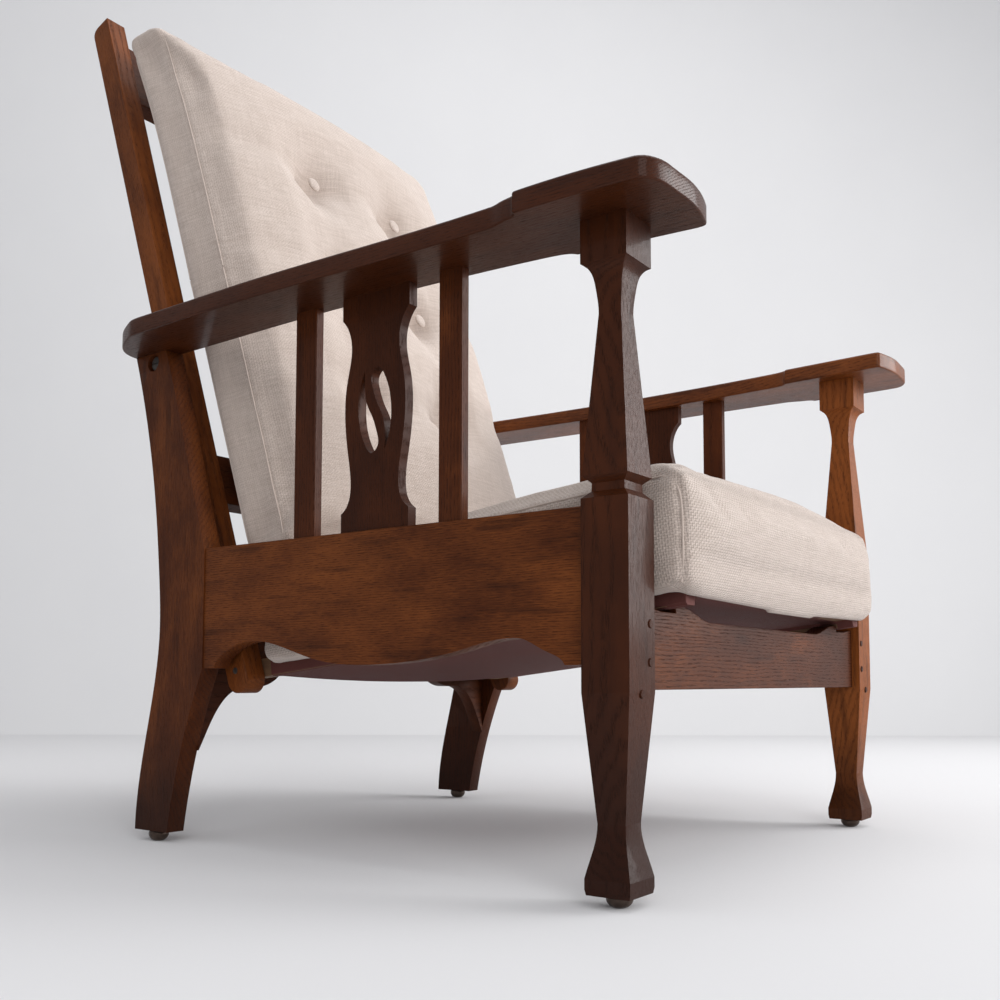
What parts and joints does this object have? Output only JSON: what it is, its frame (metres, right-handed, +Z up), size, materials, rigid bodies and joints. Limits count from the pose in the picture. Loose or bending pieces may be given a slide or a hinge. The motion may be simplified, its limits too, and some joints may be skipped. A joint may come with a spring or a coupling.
{
  "type": "morris chair",
  "caption": "Oak reclining armchair with shaped front posts, pierced side splats, loose linen cushions, a pivoting back and a seat that slides forward with it.",
  "frame": {"origin": "centre of the overall bounding box in plan, on the floor plane under the glides", "axes": "+X across the chair towards its far side in the picture, +Y to the rear, +Z up; the front faces -Y"},
  "size_m": [0.7972, 0.9418, 1.1346],
  "materials": {
    "oak": "dark fumed oak, waxed and worn to a low sheen",
    "frame_wood": "plain sawn frame wood",
    "linen": "coarse undyed linen weave",
    "base_cloth": "dark red-brown cloth",
    "webbing": "jute webbing",
    "steel": "aged dull steel"
  },
  "bodies": {
    "frame": {"left_front_post": "oak", "right_front_post": "oak", "left_rear_leg": "oak", "right_rear_leg": "oak", "left_side_rail": "oak", "right_side_rail": "oak", "left_arm": "oak", "right_arm": "oak", "left_rear_slat": "oak", "right_rear_slat": "oak", "left_splat": "oak", "right_splat": "oak", "left_front_slat": "oak", "right_front_slat": "oak", "front_rail": "oak", "rear_rail": "oak", "rail_pegs": "oak", "floor_glides": "steel", "pivot_bolts": "steel", "pivot_washers": "steel", "pivot_nuts": "steel"},
    "back": {"left_stile": "oak", "right_stile": "oak", "top_rail": "oak", "lower_rail": "oak", "back_slat_1": "oak", "back_slat_2": "oak", "back_slat_3": "oak", "back_slat_4": "oak", "back_slat_5": "oak", "back_cushion": "linen", "cushion_buttons": "linen", "link_pins": "steel"},
    "seat": {"left_runner": "frame_wood", "right_runner": "frame_wood", "seat_front_member": "frame_wood", "seat_rear_member": "frame_wood", "seat_webbing": "webbing", "seat_cover_cloth": "base_cloth", "seat_cushion": "linen"}
  },
  "joints": [
    {"name": "back_recline", "type": "hinge", "parent": "frame", "child": "back", "pos_m": [0, 0.28066, 0.602], "axis": [-1, 0, 0], "range_deg": [0, 12]},
    {"name": "seat_link", "type": "hinge", "parent": "back", "child": "seat", "pos_m": [0, 0.14852, 0.20934], "axis": [-1, 0, 0], "range_deg": [-15.4, 0]}
  ],
  "couplings": [
    {"joint": "seat_link", "follows": "back_recline", "ratio": -1.27}
  ]
}
